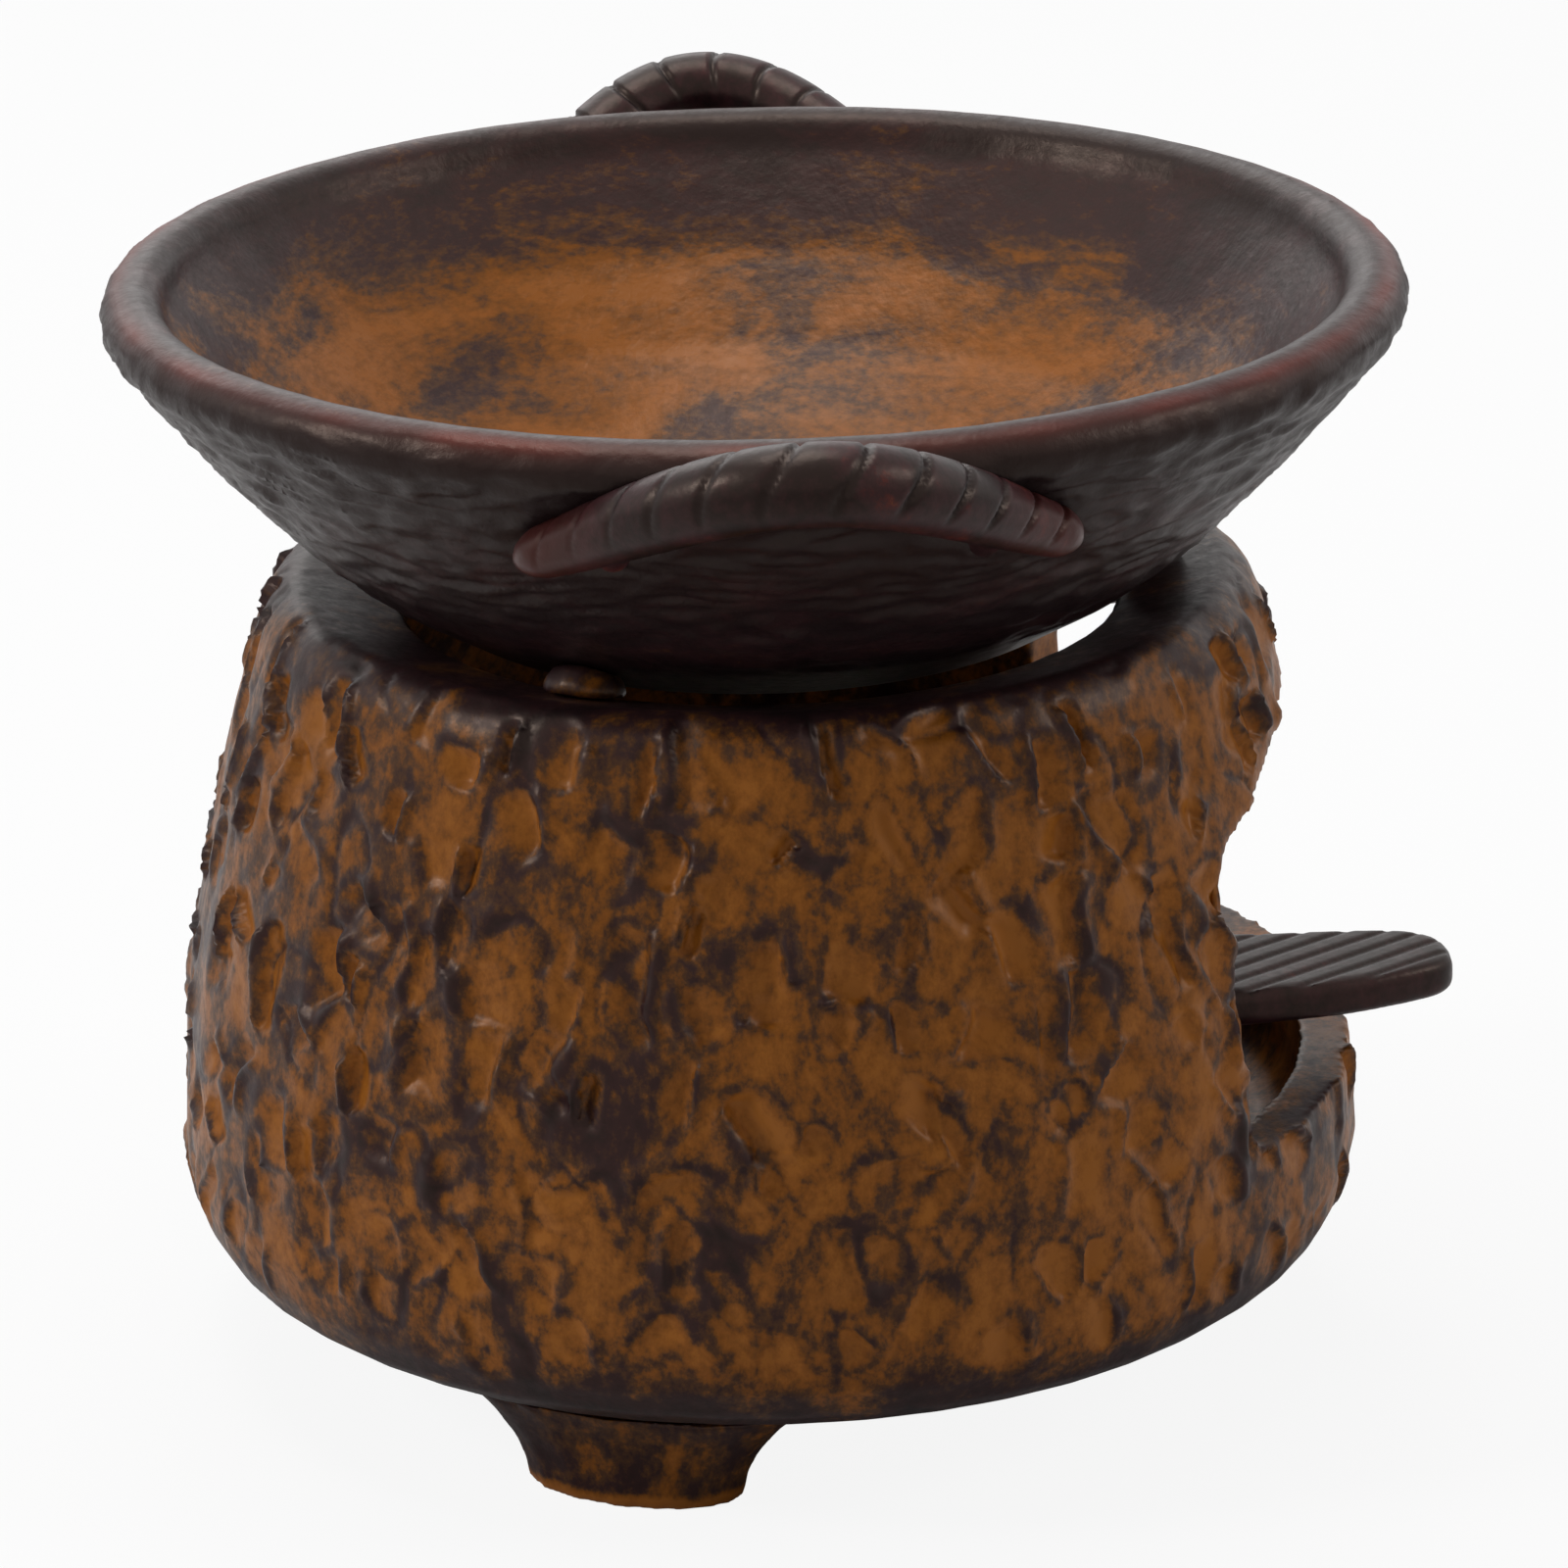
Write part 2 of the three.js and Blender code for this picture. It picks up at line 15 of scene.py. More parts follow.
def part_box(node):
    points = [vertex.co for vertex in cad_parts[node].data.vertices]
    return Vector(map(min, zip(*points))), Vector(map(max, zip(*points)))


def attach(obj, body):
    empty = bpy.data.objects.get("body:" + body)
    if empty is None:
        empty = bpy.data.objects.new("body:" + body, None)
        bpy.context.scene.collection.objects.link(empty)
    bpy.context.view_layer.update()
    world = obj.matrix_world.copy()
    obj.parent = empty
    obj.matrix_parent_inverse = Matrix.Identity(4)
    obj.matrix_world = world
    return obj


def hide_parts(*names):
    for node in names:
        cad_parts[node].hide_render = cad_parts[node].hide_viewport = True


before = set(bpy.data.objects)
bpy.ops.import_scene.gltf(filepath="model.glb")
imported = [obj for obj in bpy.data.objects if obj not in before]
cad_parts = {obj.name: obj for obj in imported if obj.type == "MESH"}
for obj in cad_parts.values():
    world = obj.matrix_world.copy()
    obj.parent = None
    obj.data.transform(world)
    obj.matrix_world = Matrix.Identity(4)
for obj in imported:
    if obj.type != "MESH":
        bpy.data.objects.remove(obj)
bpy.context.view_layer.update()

MM = 0.001
SHELL_LOW, SHELL_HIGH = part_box("base_shell")
STAND_AXIS_X = 0.5 * (SHELL_LOW[0] + SHELL_HIGH[0])
STAND_AXIS_Y = 0.5 * (SHELL_LOW[1] + SHELL_HIGH[1])


class Body(Enum):
    """The bodies that the glazed pieces ride on."""

    STAND = "stand"
    DISH = "dish"
    TRAY = "tray"


def linear(hex_colour: str) -> tuple[float, float, float, float]:
    """Turns an sRGB colour into the linear one that nodes take.

    Args:
        hex_colour: Six hex digits after a hash.

    Returns:
        Linear red, green, blue and an alpha of 1.
    """
    parts = [int(hex_colour[i : i + 2], 16) / 255 for i in (1, 3, 5)]
    red, green, blue = (c / 12.92 if c <= 0.04045 else ((c + 0.055) / 1.055) ** 2.4 for c in parts)
    return red, green, blue, 1.0


def per_mm(size_mm: float) -> float:
    """Gives the texture scale at which one pattern cell is that many millimetres wide."""
    return 1000.0 / size_mm


def add_node(tree: bpy.types.NodeTree, kind: str, settings: dict[Any, Any], links: dict[Any, Any]) -> Any:
    """Adds a node to a tree.

    Args:
        tree: The material's node tree.
        kind: The node's type without its ShaderNode prefix.
        settings: Properties by name, or input values by (input name or number,).
        links: Output sockets to join, by input name or number.

    Returns:
        The new node.
    """
    node = tree.nodes.new("ShaderNode" + kind)
    for key, value in settings.items():
        if isinstance(key, tuple):
            node.inputs[key[0]].default_value = value
        else:
            setattr(node, key, value)
    for key, socket in links.items():
        tree.links.new(socket, node.inputs[key])
    return node


def set_ramp(node: Any, stops: list[tuple[float, str]]) -> None:
    """Writes a colour ramp's stops.

    Args:
        node: The ramp node.
        stops: Places from 0 to 1 with their sRGB colours, in rising order.
    """
    elements = node.color_ramp.elements
    while len(elements) < len(stops):
        elements.new(0.5)
    for element, (place, colour) in zip(elements, stops):
        element.position = place
        element.color = linear(colour)


@dataclass(frozen=True)
class Glaze:
    """Iron glaze on thrown stoneware, dipped and fired in reduction to a satin.

    It breaks: it stays a golden amber on the flats, and turns to aubergine where an edge of the clay
    thins it. Its darkness runs from 0, amber, to 1, aubergine, and can grow above one band of heights
    and below another. The bands it starts with lie clear of the warmer, so they do nothing.
    """

    name: str
    amber: str = "#7f4a16"
    amber_light: str = "#9a5d20"
    umber: str = "#4c301b"
    aubergine: str = "#2c191b"
    aubergine_deep: str = "#191012"
    places: tuple[float, float, float, float, float] = (0.30, 0.46, 0.57, 0.67, 0.88)
    edge_tint: str = "#5c211a"
    cloud_mm: float = 8.0
    cloud_swirl: float = 0.7
    speckle_mm: float = 1.0
    speckle_share: float = 0.5
    stretch: tuple[float, float, float] = (1.0, 1.0, 0.82)
    darkness: float = 0.0
    dark_above_mm: tuple[float, float] = (200.0, 201.0)
    above_amount: float = 0.34
    dark_below_mm: tuple[float, float] = (-2.0, -1.0)
    below_amount: float = 0.3
    darkened_by: tuple[str, ...] = ()
    has_edge_tint: bool = False
    roughness: float = 0.37
    smoother_by: float = 0.06
    rougher_by: float = 0.08
    grain_bump: float = 0.18
    grain_mm: float = 0.55
    swell_mm: float = 2.6
    swell_share: float = 3.0
    bump_mm: float = 0.12
    ior: float = 1.5
    specular_level: float = 0.30
    reflection_tint: str = "#e8cbb8"

    def build(self) -> bpy.types.Material:
        """Builds the glaze.

        Returns:
            The material.
        """
        material = bpy.data.materials.new(self.name)
        material.use_nodes = True
        tree = material.node_tree
        shader = tree.nodes["Principled BSDF"]
        place = add_node(tree, "TexCoord", {}, {}).outputs["Object"]
        stretched = add_node(
            tree, "VectorMath", {"operation": "MULTIPLY", (1,): self.stretch}, {0: place}
        ).outputs[0]
        cloud = add_node(
            tree, "TexNoise",
            {
                ("Scale",): per_mm(self.cloud_mm), ("Detail",): 4.0,
                ("Roughness",): 0.62, ("Distortion",): self.cloud_swirl,
            },
            {"Vector": stretched},
        ).outputs["Fac"]
        speckle = add_node(
            tree, "TexNoise",
            {("Scale",): per_mm(self.speckle_mm), ("Detail",): 3.0, ("Roughness",): 0.7},
            {"Vector": stretched},
        ).outputs["Fac"]
        dark = self._darkness(tree, cloud, speckle, place)
        tree.links.new(self._colour(tree, dark), shader.inputs["Base Color"])
        tree.links.new(self._satin(tree, speckle), shader.inputs["Roughness"])
        tree.links.new(self._skin(tree, place), shader.inputs["Normal"])
        shader.inputs["Specular IOR Level"].default_value = self.specular_level
        shader.inputs["Specular Tint"].default_value = linear(self.reflection_tint)
        shader.inputs["IOR"].default_value = self.ior
        return material

    def _darkness(self, tree: Any, cloud: Any, speckle: Any, place: Any) -> Any:
        """Works out how dark the glaze is.

        Args:
            tree: The node tree.
            cloud: Socket of the broad mottling.
            speckle: Socket of the fine speckle.
            place: Socket of the object's own coordinates.

        Returns:
            The socket of the darkness.
        """
        even = self.darkness - 0.5 * self.speckle_share
        fine = add_node(
            tree, "Math", {"operation": "MULTIPLY_ADD", (1,): self.speckle_share, (2,): even}, {0: speckle}
        ).outputs[0]
        total = add_node(tree, "Math", {"operation": "ADD"}, {0: cloud, 1: fine}).outputs[0]
        height = add_node(tree, "SeparateXYZ", {}, {0: place}).outputs["Z"]
        for (low, high), (first, last) in (
            (self.dark_above_mm, (0.0, self.above_amount)),
            (self.dark_below_mm, (self.below_amount, 0.0)),
        ):
            band = add_node(
                tree, "MapRange",
                {("From Min",): low * MM, ("From Max",): high * MM, ("To Min",): first, ("To Max",): last},
                {"Value": height},
            ).outputs[0]
            total = add_node(tree, "Math", {"operation": "ADD"}, {0: total, 1: band}).outputs[0]
        # The stored darkness of the stand's wall and the ropes includes painted shade in their creases and
        # nicks.
        for stored in self.darkened_by:
            amount = add_node(tree, "Attribute", {"attribute_name": stored}, {}).outputs["Fac"]
            total = add_node(tree, "Math", {"operation": "ADD"}, {0: total, 1: amount}).outputs[0]
        return total

    def _colour(self, tree: Any, dark: Any) -> Any:
        """Turns the darkness into a colour, with a blush where an edge is stored.

        Args:
            tree: The node tree.
            dark: Socket of the darkness.

        Returns:
            The socket of the colour.
        """
        ramp = add_node(tree, "ValToRGB", {}, {"Fac": dark})
        colours = (self.amber_light, self.amber, self.umber, self.aubergine, self.aubergine_deep)
        set_ramp(ramp, list(zip(self.places, colours)))
        if not self.has_edge_tint:
            return ramp.outputs["Color"]
        edge = add_node(tree, "Attribute", {"attribute_name": "edge"}, {}).outputs["Fac"]
        tint = add_node(
            tree, "Mix",
            {"data_type": "RGBA", (7,): linear(self.edge_tint)}, {0: edge, 6: ramp.outputs["Color"]},
        )
        return tint.outputs[2]

    def _satin(self, tree: Any, speckle: Any) -> Any:
        """Lets the gloss vary with the speckle.

        Args:
            tree: The node tree.
            speckle: Socket of the fine speckle.

        Returns:
            The socket of the roughness.
        """
        smoothest = self.roughness - self.smoother_by
        roughest = self.roughness + self.rougher_by
        return add_node(
            tree, "MapRange",
            {("From Min",): 0.25, ("From Max",): 0.75, ("To Min",): smoothest, ("To Max",): roughest},
            {"Value": speckle},
        ).outputs[0]

    def _skin(self, tree: Any, place: Any) -> Any:
        """Gives the fired skin its grain over a shallow swell.

        The real grain is finer, and is drawn at a size that shows in the render.

        Args:
            tree: The node tree.
            place: Socket of the object's own coordinates.

        Returns:
            The socket of the normal.
        """
        grain = add_node(
            tree, "TexNoise",
            {("Scale",): per_mm(self.grain_mm), ("Detail",): 3.0, ("Roughness",): 0.6},
            {"Vector": place},
        ).outputs["Fac"]
        swell = add_node(
            tree, "TexNoise", {("Scale",): per_mm(self.swell_mm), ("Detail",): 2.0}, {"Vector": place}
        ).outputs["Fac"]
        both = add_node(
            tree, "Math", {"operation": "MULTIPLY_ADD", (1,): self.swell_share}, {0: swell, 2: grain}
        ).outputs[0]
        return add_node(
            tree, "Bump",
            {("Strength",): self.grain_bump, ("Distance",): self.bump_mm * MM}, {"Height": both},
        ).outputs["Normal"]


@dataclass(frozen=True)
class PlainFinish:
    """A finish of one colour with a fine grain, for the tealight's metal, wax and cotton."""

    name: str
    light: str
    dark: str
    grain_mm: float
    roughness: float
    metallic: float = 0.0
    subsurface: float = 0.0
    scatter_mm: float = 2.0
    bump: float = 0.1
    bump_mm: float = 0.2
    places: tuple[float, float] = (0.3, 0.7)

    def build(self) -> bpy.types.Material:
        """Builds the finish.

        Returns:
            The material.
        """
        material = bpy.data.materials.new(self.name)
        material.use_nodes = True
        tree = material.node_tree
        shader = tree.nodes["Principled BSDF"]
        place = add_node(tree, "TexCoord", {}, {}).outputs["Object"]
        grain = add_node(
            tree, "TexNoise", {("Scale",): per_mm(self.grain_mm), ("Detail",): 4.0}, {"Vector": place}
        ).outputs["Fac"]
        ramp = add_node(tree, "ValToRGB", {}, {"Fac": grain})
        set_ramp(ramp, list(zip(self.places, (self.dark, self.light))))
        tree.links.new(ramp.outputs["Color"], shader.inputs["Base Color"])
        bump = add_node(
            tree, "Bump",
            {("Strength",): self.bump, ("Distance",): self.bump_mm * MM}, {"Height": grain},
        ).outputs["Normal"]
        tree.links.new(bump, shader.inputs["Normal"])
        shader.inputs["Metallic"].default_value = self.metallic
        shader.inputs["Roughness"].default_value = self.roughness
        shader.inputs["Subsurface Weight"].default_value = self.subsurface
        shader.inputs["Subsurface Scale"].default_value = self.scatter_mm * MM
        return material


# Mottled iron glaze on the beaten wall. The eye sees golden flats in a net of dark creases, whose
# darkness is partly painted shade in the creases and partly glaze thinned over the dents' raised
# edges. The glaze is also drawn darker toward the shoulder and toward the bottom edge.
WALL_GLAZE = Glaze(
    "iron_glaze_amber_mottled", darkness=-0.04, dark_above_mm=(64.5, 73.0), dark_below_mm=(8.0, 16.0),
    darkened_by=("relief",),
)
# The same glaze wiped off the soles, so the eye sees dark feet that end in a rim of bare ochre clay.
FOOT_GLAZE = Glaze("iron_glaze_foot", darkness=0.12, dark_below_mm=(0.3, 1.5), below_amount=-0.5)
# The same glaze pooled in the dish and thin outside it. The eye sees blotchy streaks of amber that run
# round the bowl, under a nearly black outside and a rim that blushes maroon.
DISH_GLAZE = Glaze(
    "iron_glaze_dish", amber="#74430f", amber_light="#8e531a", cloud_mm=15.0, speckle_mm=1.4,
    stretch=(1.0, 1.0, 2.6), darkness=-0.05, dark_above_mm=(83.0, 98.0), darkened_by=("outside",),
    has_edge_tint=True, roughness=0.38, grain_bump=0.34,
)
# The same glaze over ropes, tray and tongue, thin all over. The eye sees satin aubergine with hints of
# maroon, which warm toward the handles' tips, and painted shade darkens the ropes' nicks.
ROPE_GLAZE = Glaze(
    "iron_glaze_aubergine", umber="#4f1f1d", aubergine="#321b1f", aubergine_deep="#160d0f",
    darkness=0.28, darkened_by=("relief",), has_edge_tint=True, roughness=0.34,
)
# Deep-drawn aluminium foil: a pale grey mirror, blurred by the rolling. The real marks are finer than
# this clouding, and would be too fine to show.
CUP_METAL = PlainFinish("pressed_aluminium", "#d4d5d6", "#b9babc", 3.0, 0.3, metallic=1.0)
# Cast paraffin wax: a cream that light enters a little way, so its edge looks soft.
CANDLE_WAX = PlainFinish("paraffin_wax", "#f3eee1", "#e6dfcd", 4.0, 0.42, subsurface=0.3)
# Stamped tinned steel: a duller grey than the cup.
SUSTAINER_TIN = PlainFinish("tinned_steel", "#adadab", "#8f8f8c", 2.0, 0.38, metallic=1.0)
# Braided cotton: an off-white with no shine, whose bumps stand for the braid.
WICK_COTTON = PlainFinish("cotton_wick", "#e9e2d2", "#cfc6b2", 0.5, 0.95, bump=0.6)


def smoothstep(low: float, high: float, value: np.ndarray) -> np.ndarray:
    """Rises smoothly from 0 at low to 1 at high.

    Args:
        low: Where the rise starts.
        high: Where it ends.
        value: Where it is wanted.

    Returns:
        A share from 0 to 1 for each value.
    """
    share = np.clip((value - low) / (high - low), 0.0, 1.0)
    return share * share * (3.0 - 2.0 * share)


def bell(value: np.ndarray, middle: float, width: float) -> np.ndarray:
    """Gives a bell curve that is 1 at its middle.

    Args:
        value: Where it is wanted.
        middle: Where the curve is highest.
        width: How far from there it has fallen to about a third.

    Returns:
        The curve's height for each value.
    """
    return np.exp(-(((value - middle) / width) ** 2))


@dataclass(frozen=True)
class Unevenness:
    """A layer of smooth unevenness: its cell along each axis, its height, and an offset that picks it."""

    cell_mm: tuple[float, float, float]
    height: float
    offset: float

    def at(self, points: np.ndarray) -> np.ndarray:
        """Samples the layer.

        Args:
            points: Places in metres, one row each.

        Returns:
            One value for each place, from about minus the height to the height.
        """
        scaled = points / (np.array(self.cell_mm) * MM) + self.offset
        values = np.fromiter((noise.noise(p) for p in scaled.tolist()), dtype=float, count=len(scaled))
        return self.height * values


def read_mesh(mesh: bpy.types.Mesh) -> tuple[np.ndarray, np.ndarray]:
    """Reads a mesh's points and normals.

    Args:
        mesh: The mesh.

    Returns:
        Points and normals, one row each.
    """
    count = len(mesh.vertices)
    points = np.empty(3 * count)
    normals = np.empty(3 * count)
    mesh.vertices.foreach_get("co", points)
    mesh.vertices.foreach_get("normal", normals)
    return points.reshape(-1, 3), normals.reshape(-1, 3)


def write_points(mesh: bpy.types.Mesh, points: np.ndarray) -> None:
    """Moves a mesh's points."""
    mesh.vertices.foreach_set("co", points.ravel())
    mesh.update()


def write_attribute(mesh: bpy.types.Mesh, name: str, values: np.ndarray) -> None:
    """Stores one number for each point of a mesh."""
    attribute = mesh.attributes.new(name, "FLOAT", "POINT")
    attribute.data.foreach_set("value", values.astype(np.float32))


def ring_faces(rings: int, sides: int) -> list[tuple[int, ...]]:
    """Joins rings of points into a closed skin.

    Args:
        rings: How many rings there are.
        sides: How many points each ring has.

    Returns:
        Faces as tuples of point numbers, with a cap at both ends.
    """
    faces: list[tuple[int, ...]] = []
    for ring in range(rings - 1):
        for i in range(sides):
            a = ring * sides + i
            b = ring * sides + (i + 1) % sides
            faces.append((a, b, b + sides, a + sides))
    faces.append(tuple(range(sides - 1, -1, -1)))
    faces.append(tuple((rings - 1) * sides + i for i in range(sides)))
    return faces


@dataclass
class Clay:
    """A clay surface taken from a solid of the frame, with a fine even mesh that takes relief."""

    node: str
    body: Body
    finish: bpy.types.Material
    voxel_mm: float = 0.6
    passes: int = 6
    slot: str = "glaze"
    broad: Unevenness = Unevenness((9.0, 9.0, 9.0), 0.12, 3.1)
    fine: Unevenness = Unevenness((2.6, 2.6, 2.6), 0.05, 7.7)
    piece: bpy.types.Object = field(init=False)

    def make(self) -> bpy.types.Object:
        """Makes the fine mesh, gives it the piece's relief and sets it on its body.

        Returns:
            The piece.
        """
        coarse = bpy.data.objects.new(self.node + "_coarse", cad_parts[self.node].data.copy())
        bpy.context.scene.collection.objects.link(coarse)
        remesh = coarse.modifiers.new("even", "REMESH")
        remesh.mode = "VOXEL"
        remesh.voxel_size = self.voxel_mm * MM
        soften = coarse.modifiers.new("soften", "SMOOTH")
        soften.factor = 0.5
        soften.iterations = self.passes
        graph = bpy.context.evaluated_depsgraph_get()
        mesh = bpy.data.meshes.new_from_object(coarse.evaluated_get(graph))
        bpy.data.objects.remove(coarse)
        mesh.materials.clear()
        mesh.materials.append(self.finish)
        self.piece = bpy.data.objects.new(self.node + "_glazed", mesh)
        bpy.context.scene.collection.objects.link(self.piece)
        self.shape(mesh)
        mesh.shade_smooth()
        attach(self.piece, self.body.value)
        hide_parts(self.node)
        return self.piece

    def shape(self, mesh: bpy.types.Mesh) -> None:
        """Gives plain clay the slight unevenness of a hand-made piece.

        Args:
            mesh: The piece's mesh.
        """
        points, normals = read_mesh(mesh)
        wave = self.broad.at(points) + self.fine.at(points)
        write_points(mesh, points + normals * (wave * MM)[:, None])


@dataclass(frozen=True)
class Dent:
    """One blow of the blunt tool on the stand's wall, with its steep edge on one side."""

    angle: float
    height_mm: float
    lean: float
    half_length_mm: float
    half_width_mm: float
    depth_mm: float
    side: float


@dataclass
class BeatenSurface:
    """The wall's points: where they lie, how the clay wanders, what the blows have done and the painted
    crease shade.
    """

    turn: np.ndarray
    height_mm: np.ndarray
    warp: np.ndarray
    twist: np.ndarray
    chosen: np.ndarray
    hollow: np.ndarray
    lip: np.ndarray
    crease: np.ndarray


@dataclass
class StandWall(Clay):
    """The stand, whose outside is beaten with a blunt tool into leaning dents with raised edges.

    The dents stand in staggered rows. The dent_ fields are places across a dent, in half widths or
    half lengths from its middle, and the other lengths are in millimetres. The _dark, _shade and _light
    fields say how much a form darkens or lightens the glaze's colour, and the _shade fields are painted
    shade in the creases round and between the dents.
    """

    seed: int = 11
    belly_mm: float = 49.0
    bottom_mm: float = 15.0
    top_mm: float = 69.0
    row_mm: float = 6.6
    column_mm: float = 5.6
    column_jitter: float = 0.42
    row_jitter: float = 0.4
    lean_mean: float = 0.10
    lean_spread: float = 0.42
    half_length_mm: tuple[float, float] = (1.7, 3.9)
    half_width_mm: tuple[float, float] = (1.0, 2.7)
    depth_mm: tuple[float, float] = (0.35, 1.3)
    reach_mm: float = 6.5
    wander_mm: float = 1.3
    dent_ends: tuple[float, float] = (0.62, 1.05)
    dent_slope: tuple[float, float] = (-1.1, 0.55)
    dent_steep_edge: tuple[float, float] = (0.66, 1.0)
    dent_lip: tuple[float, float] = (1.25, 0.34)
    dent_crease_shade: tuple[float, float] = (1.14, 0.17)
    dent_squareness: float = 2.8
    hollow_share: float = 0.85
    lip_share: float = 0.6
    full_crease_shade_depth_mm: float = 0.6
    vein_depth_mm: float = 0.24
    vein_width: float = 0.075
    vein_wander_mm: float = 1.1
    vein_open: tuple[float, float] = (-0.25, 0.2)
    crease_shade_open: float = 0.55
    crease_shade_change: float = 0.9
    shallow_mm: float = 0.05
    outside_facing: tuple[float, float] = (0.15, 0.6)
    outside_radius_mm: tuple[float, float] = (38.0, 41.0)
    outside_from_mm: tuple[float, float] = (11.0, 18.0)
    least_share: float = 0.01
    inside_swell_share: float = 0.12
    inside_rough_share: float = 0.3
    foot_share: float = 0.55
    full_beating_mm: tuple[float, float] = (18.0, 44.0)
    crease_shade: float = 0.17
    vein_shade: float = 0.17
    lip_dark: float = 0.14
    rough_dark: float = 0.3
    flat_light: float = 0.02
    hollow_light: float = 0.10
    full_light_mm: float = 0.4
    flank_dark: float = 0.08
    flank_mm: tuple[float, float] = (-10.0, 40.0)
    inside_dark: float = 0.10
    warp: Unevenness = Unevenness((4.5, 4.5, 4.5), 1.0, 1.7)
    twist: Unevenness = Unevenness((4.5, 4.5, 4.5), 1.0, 31.7)
    veins: Unevenness = Unevenness((5.5, 5.5, 7.5), 1.0, 14.9)
    vein_patches: Unevenness = Unevenness((8.0, 8.0, 8.0), 1.0, 21.3)
    swell: Unevenness = Unevenness((7.0, 7.0, 10.0), 0.34, 5.3)
    rough: Unevenness = Unevenness((2.0, 2.0, 2.8), 0.08, 9.1)

    def shape(self, mesh: bpy.types.Mesh) -> None:
        """Beats the outside and stores how much the relief darkens the glaze, with painted shade in its
        creases.

        Args:
            mesh: The stand's mesh.
        """
        points, normals = read_mesh(mesh)
        x = points[:, 0] / MM - STAND_AXIS_X / MM
        y = points[:, 1] / MM - STAND_AXIS_Y / MM
        z = points[:, 2] / MM
        radius = np.hypot(x, y)
        outward = (normals[:, 0] * x + normals[:, 1] * y) / np.maximum(radius, 1.0)
        wall = smoothstep(*self.outside_facing, outward) * smoothstep(*self.outside_radius_mm, radius)
        wall *= smoothstep(*self.outside_from_mm, z)
        count = len(points)
        surface = BeatenSurface(
            turn=np.arctan2(y, x), height_mm=z, warp=self.warp.at(points), twist=self.twist.at(points),
            chosen=np.nonzero(wall > self.least_share)[0],
            hollow=np.zeros(count), lip=np.zeros(count), crease=np.zeros(count),
        )
        for dent in self._dents():
            self._press(dent, surface)
        vein = self._veins(points, surface)
        swell = self.swell.at(points)
        rough = self.rough.at(points)
        open_lip = surface.lip * (surface.hollow < self.shallow_mm)
        beaten = open_lip - surface.hollow - self.vein_depth_mm * vein + swell + rough
        unbeaten = self.inside_swell_share * swell + self.inside_rough_share * rough
        lift = wall * beaten + (1 - wall) * unbeaten
        # The beating is lighter toward the foot.
        weight = self.foot_share + (1.0 - self.foot_share) * smoothstep(*self.full_beating_mm, z)
        write_points(mesh, points + normals * (lift * weight * MM)[:, None])
        # Painted shade: the crease round each dent and the thin veins between the dents are drawn darker,
        # as shade falls in them.
        raised = self.crease_shade * surface.crease + self.vein_shade * vein
        raised += self.lip_dark * surface.lip + self.rough_dark * rough
        flats = self.flat_light + self.hollow_light * np.clip(surface.hollow / self.full_light_mm, 0.0, 1.0)
        # The glaze is drawn darker on one flank, the side toward +y.
        dark_flank = self.flank_dark * smoothstep(*self.flank_mm, y)
        relief = wall * (raised - flats + dark_flank) + self.inside_dark * (1 - wall)
        write_attribute(mesh, "relief", relief)

    def _dents(self) -> Iterator[Dent]:
        """Draws the dents in staggered rows.

        Yields:
            The next dent.
        """
        draw = np.random.default_rng(self.seed)
        rows = int((self.top_mm - self.bottom_mm) / self.row_mm)
        columns = int(2 * math.pi * self.belly_mm / self.column_mm)
        for place in range(rows * columns):
            row, column = divmod(place, columns)
            across = column + 0.5 * (row % 2) + draw.uniform(-self.column_jitter, self.column_jitter)
            up = row + 0.5 + draw.uniform(-self.row_jitter, self.row_jitter)
            yield Dent(
                angle=2 * math.pi * across / columns - math.pi,
                height_mm=self.bottom_mm + self.row_mm * up,
                lean=draw.normal(self.lean_mean, self.lean_spread),
                half_length_mm=draw.uniform(*self.half_length_mm),
                half_width_mm=draw.uniform(*self.half_width_mm),
                depth_mm=draw.uniform(*self.depth_mm),
                side=draw.choice([-1.0, 1.0]),
            )

    def _across(self, turn: np.ndarray, angle: float) -> np.ndarray:
        """Gives the way round the belly from an angle to each turn, in millimetres."""
        return self.belly_mm * ((turn - angle + math.pi) % (2 * math.pi) - math.pi)

    def _press(self, dent: Dent, surface: BeatenSurface) -> None:
        """Presses one dent into the wall.

        Args:
            dent: The dent.
            surface: The wall's points, whose hollow, lip and crease grow.
        """
        aside = self._across(surface.turn[surface.chosen], dent.angle)
        above = surface.height_mm[surface.chosen] - dent.height_mm
        close = (np.abs(aside) < self.reach_mm) & (np.abs(above) < self.reach_mm)
        near = surface.chosen[close]
        warp = surface.warp[near]
        aside = aside[close] + self.wander_mm * warp
        above = above[close] + self.wander_mm * surface.twist[near]
        cosine = math.cos(dent.lean)
        sine = math.sin(dent.lean)
        p = dent.side * (aside * cosine + above * sine) / dent.half_width_mm
        q = (above * cosine - aside * sine) / dent.half_length_mm
        ends = 1.0 - smoothstep(*self.dent_ends, np.abs(q))
        floor = smoothstep(*self.dent_slope, p) * (1.0 - smoothstep(*self.dent_steep_edge, p))
        hollow = self.hollow_share * dent.depth_mm * ends * floor
        lip = self.lip_share * dent.depth_mm * ends * bell(p, *self.dent_lip)
        power = self.dent_squareness
        outline = (np.abs(p) ** power + np.abs(q) ** power) ** (1 / power)
        # The crease round a dent is a ring of painted shade, drawn on some stretches and not on others.
        stretches = np.clip(self.crease_shade_open + self.crease_shade_change * warp, 0.0, 1.0)
        crease = bell(outline, *self.dent_crease_shade) * stretches
        crease *= min(1.0, dent.depth_mm / self.full_crease_shade_depth_mm)
        surface.crease[near] = np.maximum(surface.crease[near], crease)
        surface.hollow[near] = np.maximum(surface.hollow[near], hollow)
        surface.lip[near] = np.maximum(surface.lip[near], lip)

